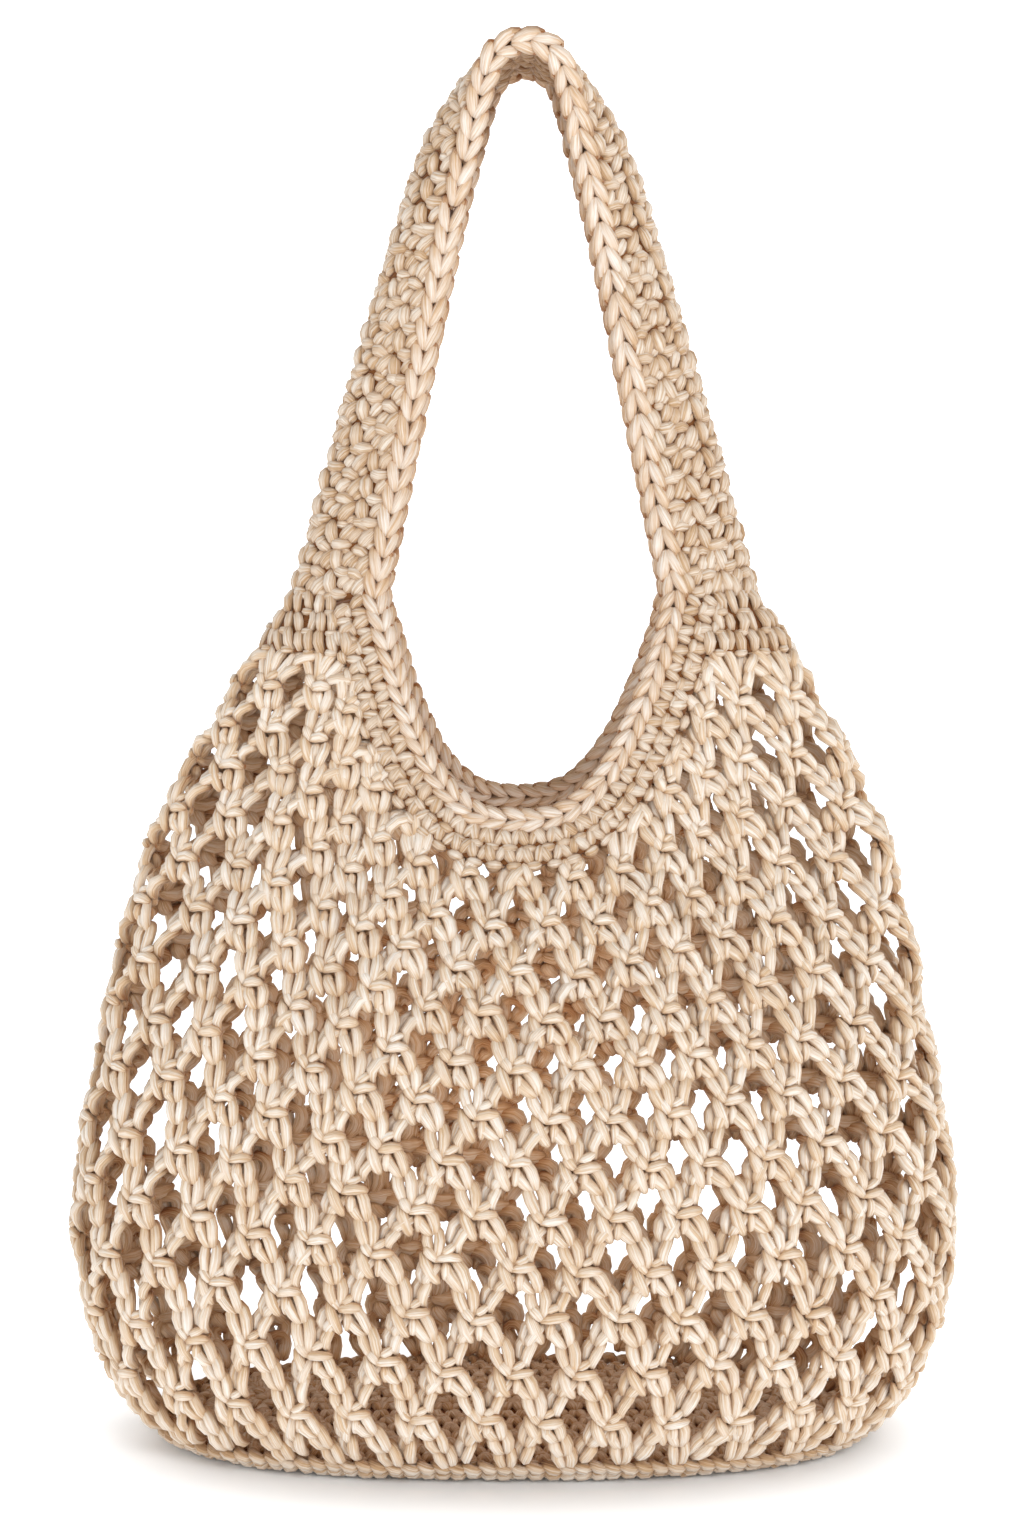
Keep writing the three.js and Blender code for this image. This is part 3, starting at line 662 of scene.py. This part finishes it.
def both_faces(shapes, at, right, up, out, rng, inner_shade=0.0, **settings):
    """The same loops on both faces of a wall, the inner ones darker by the painted shade `inner_shade`."""
    made = []
    for shape in shapes:
        made.append(loops(shape, at, right, up, out, rng, **settings))
        made.append(loops(shape, at, -right, up, -out, rng, shade=inner_shade, **settings))
    return made


band_even, band_half = even_shares(np.stack(neck_line(fine, BAND_OUTER), -1))


def neck_place(along, outwards, front):
    """Point and normal of the wall beside the neck: `along` from -1 on the left to 1 on the right."""
    side, z = neck_line(band_even(np.abs(along)), outwards)
    angle = angle_at_side(side, z) * np.sign(along)
    angle = np.where(front, angle, np.pi - angle)
    return sack_point(angle, z), sack_frame(angle, z)[2]


for name, front in (("neck_band_front", True), ("neck_band_back", False)):
    rng = np.random.default_rng(51 + front)
    along = np.linspace(-1, 1, 69)
    across = (BAND_INNER, (BAND_INNER + BAND_OUTER) / 2, BAND_OUTER)
    lines = [neck_place(along, outwards, front) for outwards in across]
    points, normals = (np.stack(grid) for grid in zip(*lines))
    parts = [wall(points, normals, WALL_THICKNESS)]
    count = round(2 * band_half / STITCH_WIDTH)
    for row, outwards in enumerate(BAND_ROWS):
        along = (2 * (np.arange(count) + 0.5 + 0.25 * row) / count - 1).clip(-0.99, 0.99)
        at, out = neck_place(along, BAND_INNER + outwards, front)
        ahead, _ = neck_place(along + 0.01, BAND_INNER + outwards, front)
        behind, _ = neck_place(along - 0.01, BAND_INNER + outwards, front)
        right = unit(ahead - behind) * (1 if front else -1)
        up = unit(np.cross(out, right))
        parts += both_faces(STITCH, at, right, up, out, rng)
    piece(name + "_crochet", parts, dense_cord, [name])


# Shoulders: dense crochet gathered under each foot of the strap, four rows of long upright loops that
# follow the side of the bag, with a few short loops across them.
YOKE_LOOP = (((-0.9, 5.6, 0.3), (0.2, 0.4, 2.7), (1.0, -5.2, 0.6)), 2.5, 2.1)
YOKE_PAD = (((-2.6, -4.2, 1.0), (0.2, -4.7, 2.9), (2.8, -3.9, 1.0)), 1.8, 1.6)
YOKE_ROWS = ((0.18, 1), (0.51, 0), (0.85, 1), (1.12, 1))
YOKE_STITCH, YOKE_OVERLAP, YOKE_UNEVENNESS = 4.5 * MM, 1.05, 0.8
band_side, band_height = neck_line(fine, BAND_OUTER)


def yoke_place(share, level, hand):
    """Point and normal of a shoulder, the left one for hand -1 and the right one for 1: `share` from -1
    behind to 1 in front, `level` from 0 below to 1 above."""
    z = SACK_HEIGHT + level * YOKE_HEIGHT
    inner = angle_at_side(np.interp(z, band_height, band_side) + BAND_GAP, z)
    angle = hand * (np.pi / 2 - share * (np.pi / 2 - inner))
    return sack_point(angle, z), sack_frame(angle, z)[2]


for name, hand in (("yoke_left", -1), ("yoke_right", 1)):
    rng = np.random.default_rng(61 + hand)
    share, level = np.meshgrid(np.linspace(-1, 1, 25), np.linspace(0, 1.2, 9))
    parts = [wall(*yoke_place(share, level, hand), WALL_THICKNESS)]
    for level, odd in YOKE_ROWS:
        line, _ = yoke_place(2 * fine - 1, np.full_like(fine, level), hand)
        even, length = even_shares(line)
        count = round(length / YOKE_STITCH)
        share = YOKE_OVERLAP * (2 * even((np.arange(count) + 0.3 + 0.4 * odd) / count) - 1)
        levels = np.full(count, level)
        at, out = yoke_place(share, levels, hand)
        ahead, _ = yoke_place(share + 0.01, levels, hand)
        behind, _ = yoke_place(share - 0.01, levels, hand)
        right = unit(ahead - behind) * -hand
        up = unit(np.cross(out, right))
        parts += both_faces([YOKE_LOOP], at, right, up, out, rng, unevenness=YOKE_UNEVENNESS)
        some = slice(odd, None, 2)
        parts += both_faces([YOKE_PAD], at[some], right[some], up[some], out[some], rng)
    piece(name + "_crochet", parts, dense_cord, [name])


# The strap: courses of single crochet across a wide band, folded lengthwise down both legs with the fold
# outside, and flat over its crown. It grows out of the shoulders.
STRAP_RISE, CROWN_WIDTH, FOLD_WIDTH = 217.5 * MM, 50 * MM, 29 * MM
EDGING_RADIUS = 4 * MM
FOLD_POWER = 2.2
STRAP_STATIONS = np.array([  # rise as a share, spread as a share of the foot's
    (0.0, 1.0), (0.317, 0.777), (0.62, 0.558), (0.774, 0.438), (0.85, 0.362),
    (0.92, 0.273), (0.954, 0.215), (0.98, 0.15), (0.995, 0.075), (1.0, 0.0),
])
STRAP_FOLDS = np.array([  # rise, fold as a share of its depth at the foot, how flat
    (0.0, 1.0, 0.0), (0.317, 0.82, 0.0), (0.62, 0.62, 0.08), (0.774, 0.52, 0.25), (0.85, 0.43, 0.45),
    (0.92, 0.25, 0.7), (0.96, 0.1, 0.9), (0.985, 0.0, 1.0), (1.0, 0.0, 1.0),
])
foot_outer = sack_point(np.pi / 2, np.array(STRAP_FOOT))[0] - TOP_LEAN
foot_fold = foot_outer - NECK_HALF_WIDTH
foot_spread = (foot_outer + NECK_HALF_WIDTH) / 2
foot_corner = angle_at_side(np.array(NECK_HALF_WIDTH), np.array(STRAP_FOOT))
foot_leaf = -sack_point(foot_corner, np.array(STRAP_FOOT))[1]
half_x = foot_spread * STRAP_STATIONS[:, 1]
half_z = STRAP_FOOT + SEAT_GAP + STRAP_RISE * STRAP_STATIONS[:, 0]
strap_x = TOP_LEAN + np.concatenate([-half_x, half_x[-2::-1]])
strap_z = np.concatenate([half_z, half_z[-2::-1]])
# The line is read at sums of the square roots of its chords, which keeps it smooth where stations crowd
chord = np.concatenate([[0.0], np.cumsum(np.sqrt(np.hypot(np.diff(strap_x), np.diff(strap_z))))])
strap_places = np.linspace(0, 1, 801)
strap_line = reading(np.stack([chord, strap_x, strap_z], -1), strap_places * chord[-1])
strap_even, strap_length = even_shares(strap_line)


def strap_point(along, share):
    """Point of the strap: `along` from the left foot to the right one, `share` from -1 at the front edge to
    1 at the back. The leaves open from the foot's width to the crown's, and the fold, 0.5 less |share|^2.2
    times its depth, stands outwards of the line, which is to the side at the feet and square to the line
    above them."""
    step = 0.003
    even = strap_even(along)
    (x, z), (x_ahead, z_ahead), (x_behind, z_behind) = (
        [np.interp(even + ahead, strap_places, column) for column in strap_line.T]
        for ahead in (0, step, -step)
    )
    dx, dz = x_ahead - x_behind, z_ahead - z_behind
    rise = np.clip((z - STRAP_FOOT - SEAT_GAP) / STRAP_RISE, 0, 1)
    fold, flat = (np.interp(rise, STRAP_FOLDS[:, 0], STRAP_FOLDS[:, i]) for i in (1, 2))
    clear = np.minimum(1, rise / STRAP_STATIONS[1, 0])
    leaf = foot_leaf + (FOLD_WIDTH / 2 - foot_leaf) * clear
    opening = leaf + (CROWN_WIDTH / 2 + EDGING_RADIUS + SEAT_GAP - leaf) * flat
    size = np.hypot(dx, dz)
    out_x = np.sign(x - TOP_LEAN + 1e-9) * (1 - clear) - dz / size * clear
    out_z = dx / size * clear
    size = np.hypot(out_x, out_z)
    offset = fold * foot_fold * (0.5 - np.abs(share) ** FOLD_POWER)
    return np.stack([x + out_x / size * offset, share * opening, z + out_z / size * offset], -1)


def strap_place(along, share):
    """Point of the strap, direction along it and outward normal."""
    along = np.clip(along, 0.001, 0.999)
    forward = unit(strap_point(along + 0.002, share) - strap_point(along - 0.002, share))
    across = unit(strap_point(along, share + 0.01) - strap_point(along, share - 0.01))
    return strap_point(along, share), forward, unit(np.cross(forward, across))


# Two kinds of stitch that take turns along a course, as KNOT gives its loops
STRAP_STITCHES = (
    (
        (((-5.8, 3.2, 0.7), (-1.8, 4.4, 2.5), (2.6, 2.4, 0.9)), 2.8, 2.0),
        (((-4.9, -4.6, 0.8), (-3.2, -1.2, 2.4), (-0.9, 2.2, 1.0)), 2.8, 1.9),
        (((-0.8, -5.2, 0.8), (1.3, -0.9, 2.6), (4.4, 3.9, 0.9)), 3.1, 2.1),
        (((1.7, -5.1, 0.7), (3.2, -3.6, 2.0), (5.0, -1.4, 0.7)), 2.3, 1.7),
    ),
    (
        (((-3.8, 5.4, 0.8), (-3.1, 0.2, 2.7), (-1.3, -4.8, 0.9)), 3.2, 2.2),
        (((5.3, 5.0, 0.8), (3.0, 1.9, 2.5), (0.6, -2.2, 0.9)), 2.8, 2.0),
        (((-3.1, -3.6, 0.9), (1.0, -4.4, 2.6), (5.8, -2.9, 0.8)), 2.7, 2.0),
        (((-2.0, 5.1, 0.7), (0.6, 4.3, 1.9), (3.2, 5.1, 0.7)), 2.2, 1.6),
    ),
)
# The long loops that show along the outside of the fold
FOLD_LOOP = (((1.6, 7.6, 0.6), (0.0, 0.8, 2.6), (-1.4, -6.6, 0.6)), 2.5, 2.0)
COURSE_HEIGHT, STRAP_STITCH, STRAP_MARGIN = 10.1 * MM, 9.2 * MM, 3.2 * MM
FOOT_LAP, STITCH_SCATTER = 4 * MM, 0.5 * MM
# Painted shade on the inner face of the strap
INSIDE_SHADE = 0.3
FOLD_SHARE, FOLD_SINK = 0.14, 0.6
rng = np.random.default_rng(71)
along, share = np.meshgrid(np.linspace(0, 1, 161), np.linspace(-0.98, 0.98, 21), indexing="ij")
point, forward, out = strap_place(along, share)
point = np.concatenate([point[:1] - (0.0, 0.0, FOOT_LAP), point, point[-1:] - (0.0, 0.0, FOOT_LAP)])
parts = [wall(point, np.concatenate([out[:1], out, out[-1:]]), WALL_THICKNESS)]
courses = round(strap_length / COURSE_HEIGHT)
for course in range(courses):
    place = (course + 0.4) / (courses - 0.2)
    line = strap_place(np.full(201, place), np.linspace(-1, 1, 201))[0]
    even, length = even_shares(line)
    usable = length - 2 * STRAP_MARGIN
    count = 2 * max(2, round(usable / (2 * STRAP_STITCH)))
    share = 2 * even((STRAP_MARGIN + usable * (np.arange(count) + 0.5) / count) / length) - 1
    at, forward, out = strap_place(np.full(count, place), share)
    up = forward * (1 if place < 0.5 else -1)
    right = unit(np.cross(up, out))
    at = at + up * rng.normal(0.0, STITCH_SCATTER, (count, 1))
    fitted = np.full(count, usable / count / STRAP_STITCH)
    for kind, shapes in enumerate(STRAP_STITCHES):
        some = slice((kind + course // 3) % 2, None, 2)
        places = (at[some], right[some], up[some], out[some])
        parts += both_faces(shapes, *places, rng, inner_shade=INSIDE_SHADE, spread=fitted[some])
fold = np.linspace(0.01, 0.99, courses)
for share in (-FOLD_SHARE, FOLD_SHARE):
    at, forward, out = strap_place(fold, np.full(courses, share))
    up = forward * np.where(fold < 0.5, 1, -1)[:, None]
    at = at - out * FOLD_SINK * MM
    parts.append(loops(FOLD_LOOP, at, unit(np.cross(up, out)), up, out, rng))
piece("strap_crochet", parts, dense_cord, ["shoulder_strap"])


# Edgings: a ridge of chain stitches, outside and inside, along each side of the neck, on up the strap's
# edge and back. Its stitches point down the left leg, to the right along the neck, and up the right leg.
EDGE_PITCH, EDGE_PITCH_GAIN = 7.6, 2.2
EDGE_HALF_WIDTHS = {1: 2.3, -1: 2.2}
LOOP_CENTRE = np.array([TOP_LEAN, 0.0, 0.40])
EDGE_TILT = 0.25
# One leg of a stitch, as CHAIN_HALF gives half of one: it starts at the tip, which lies on top, and spreads
EDGE_LEG = np.array([
    (-0.22, 0.2, -0.4, 0.0, 0.2),
    (-0.02, 0.7, 1.2, 0.72, 0.05),
    (0.30, 1.5, 2.1, 1.0, 0.0),
    (0.70, 2.6, 1.7, 1.08, 0.0),
    (1.10, 3.4, 0.6, 0.95, 0.12),
    (1.40, 3.6, -0.8, 0.7, 0.35),
    (1.55, 3.4, -1.8, 0.0, 0.5),
])
for name, front in (("edging_front", True), ("edging_back", False)):
    rng = np.random.default_rng(81 + front)
    face = -1.0 if front else 1.0
    strap_edge = strap_place(fine, np.full_like(fine, face))[0]
    along = np.linspace(-1, 1, 201)[1:-1]
    neck_even, _ = even_shares(np.stack(neck_line(fine, 0.0), -1))
    side, z = neck_line(neck_even(np.abs(along)), 0.0)
    angle = angle_at_side(side, z) * np.sign(along)
    neck_edge = sack_point(angle if front else np.pi - angle, z)
    ring = np.concatenate([neck_edge, strap_edge[::-1], neck_edge[:1]])
    # Stitches are longest half way up the strap
    rise = np.clip((ring[:, 2] - STRAP_FOOT) / STRAP_RISE, 0, 1)
    pitch = MM * (EDGE_PITCH + EDGE_PITCH_GAIN * np.sin(np.pi * rise**0.8) ** 0.5)
    step = np.linalg.norm(np.diff(ring, axis=0), axis=1) / (pitch[1:] + pitch[:-1]) * 2
    stitches = np.concatenate([[0.0], np.cumsum(step)])
    count = round(stitches[-1])
    steps = np.arange(count)
    places = [(steps + shift) / count % 1.0 * stitches[-1] for shift in (0.0, 0.5, 1.0)]
    starts, middles, ends = (
        np.stack([np.interp(place, stitches, column) for column in ring.T], -1) for place in places
    )
    out = unit(np.array([0.0, face, 0.0]) - EDGE_TILT * unit(middles - LOOP_CENTRE) * (1, 0, 1))
    parts = []
    for hand in (1, -1):
        for facing, half_width in EDGE_HALF_WIDTHS.items():
            leg, outs = EDGE_LEG * (1, hand, 1, 1, 1), (facing * out, facing * out)
            parts += chains(leg, starts, middles, ends, outs, 1, 0.0, half_width, rng)
    piece(name + "_chain", parts, edge_cord, [name])


# The base: rounds of single crochet, dense and flat, worked about a straight chain in the middle of the
# oval, with a chain-like rim that carries the net.
OUTLINE_HEIGHT, BASE_MIDDLE, BASE_THICKNESS = 3 * MM, 4.9 * MM, 3 * MM
ROUNDS, BASE_UNEVENNESS = 7, 0.2
RIM_STITCHES, RIM_HEIGHT, RIM_STAND, RIM_TILT = 110, 6.2 * MM, 1.5 * MM, 0.2
UPWARDS = np.array([0.0, 0.0, 1.0])
rng = np.random.default_rng(91)
outline = sack_point(np.linspace(0, 2 * np.pi, 97), np.full(97, OUTLINE_HEIGHT))
grid = np.linspace(0.02, 1, 12)[:, None, None] * outline[None]
grid[..., 2] = BASE_MIDDLE
parts = [wall(grid, np.broadcast_to(UPWARDS, grid.shape), BASE_THICKNESS)]
angle = 2 * np.pi * fine
outline = sack_point(angle, np.full_like(fine, OUTLINE_HEIGHT))
outline[:, 2] = BASE_MIDDLE
half_length = outline[:, 0].max() - outline[:, 1].max()
spine = np.stack([np.clip(outline[:, 0], -half_length, half_length), 0 * angle, outline[:, 2]], -1)
for turn in range(ROUNDS):
    line = spine + (outline - spine) * (turn + 0.6) / ROUNDS
    even, length = even_shares(line)
    count = round(length / STITCH_WIDTH)
    share = even((np.arange(count) + 0.5 * (turn % 2)) / count)
    at, ahead, behind = (
        np.stack([np.interp(share + step, fine, column) for column in line.T], -1)
        for step in (0, 0.004, -0.004)
    )
    right = unit(ahead - behind)
    out = np.broadcast_to(UPWARDS, right.shape)
    up = unit(np.cross(out, right))
    parts += both_faces(STITCH, at, right, up, out, rng, unevenness=BASE_UNEVENNESS)
rim_even, _ = even_shares(sack_point(angle, np.full_like(fine, NET_FOOT)))
level = np.full(RIM_STITCHES, RIM_HEIGHT)
steps = np.arange(RIM_STITCHES)
angles = [2 * np.pi * rim_even(((steps + shift) / RIM_STITCHES) % 1.0) for shift in (0, 0.5, 1.0)]
starts, middles, ends = (sack_point(angle, level, RIM_STAND) for angle in angles)
out = unit(sack_frame(angles[1], level)[2] - RIM_TILT * UPWARDS)
parts += chains(hairpin(1.0), starts, middles, ends, (out, out), 1, 0.0, CORD_HALF_WIDTH, rng)
piece("base_crochet", parts, dense_cord, ["base_panel"])


# The floor: plain and white, rising in a wide curve behind the bag, so that no edge shows. It glows a little
# away from the bag's foot, as a bright floor does in a photograph, and less where the bag stands close over
# it, which paints a shadow round the foot.
BEND_RADIUS, BEND_START = 1.2, 1.6
FLOOR_FRONT, FLOOR_TOP, FLOOR_HALF_WIDTH = -4.0, 5.0, 7.0
turn = np.linspace(0, np.pi / 2, 25)
reach = np.concatenate([[FLOOR_FRONT], BEND_START + BEND_RADIUS * np.sin(turn), [BEND_START + BEND_RADIUS]])
rise = np.concatenate([[0.0], BEND_RADIUS * (1 - np.cos(turn)), [FLOOR_TOP]])
floor_mesh = bpy.data.meshes.new("floor")
floor_mesh.from_pydata(
    [(x, y, z) for y, z in zip(reach, rise) for x in (-FLOOR_HALF_WIDTH, FLOOR_HALF_WIDTH)],
    [],
    [(2 * i, 2 * i + 1, 2 * i + 3, 2 * i + 2) for i in range(len(reach) - 1)],
)
floor_mesh.polygons.foreach_set("use_smooth", np.ones(len(floor_mesh.polygons), bool))
floor_material = bpy.data.materials.new("white_floor")
floor_material.use_nodes = True
paint = floor_material.node_tree.nodes["Principled BSDF"].inputs
paint["Base Color"].default_value = (0.9, 0.93, 0.96, 1.0)
paint["Roughness"].default_value = 0.9
paint["Emission Color"].default_value = (1.0, 1.0, 1.0, 1.0)
floor_nodes = floor_material.node_tree
place = add_node(floor_nodes, "ShaderNodeTexCoord")
oval = add_node(
    floor_nodes,
    "ShaderNodeVectorMath",
    {"operation": "MULTIPLY", 1: (0.5, 1.0, 1.0)},
    {0: place.outputs["Object"]},
)
distance = add_node(
    floor_nodes, "ShaderNodeVectorMath", {"operation": "LENGTH"}, {"Vector": oval.outputs["Vector"]}
)
# Painted shadow: no glow at the bag's foot, the glow rising over a few centimetres away from it
brighter = add_node(
    floor_nodes,
    "ShaderNodeMapRange",
    {"From Min": 0.056, "From Max": 0.095, "To Min": 0.0, "To Max": 0.65},
    {"Value": distance.outputs["Value"]},
)
# Painted shadow: the glow is cut further where the bag stands close over the floor
open_sky = add_node(floor_nodes, "ShaderNodeAmbientOcclusion", {"Distance": 0.04})
shown = add_node(
    floor_nodes,
    "ShaderNodeMath",
    {"operation": "MULTIPLY"},
    {0: brighter.outputs["Result"], 1: open_sky.outputs["AO"]},
)
floor_nodes.links.new(shown.outputs["Value"], paint["Emission Strength"])
floor_mesh.materials.append(floor_material)
floor = bpy.data.objects.new("floor", floor_mesh)
bpy.context.scene.collection.objects.link(floor)
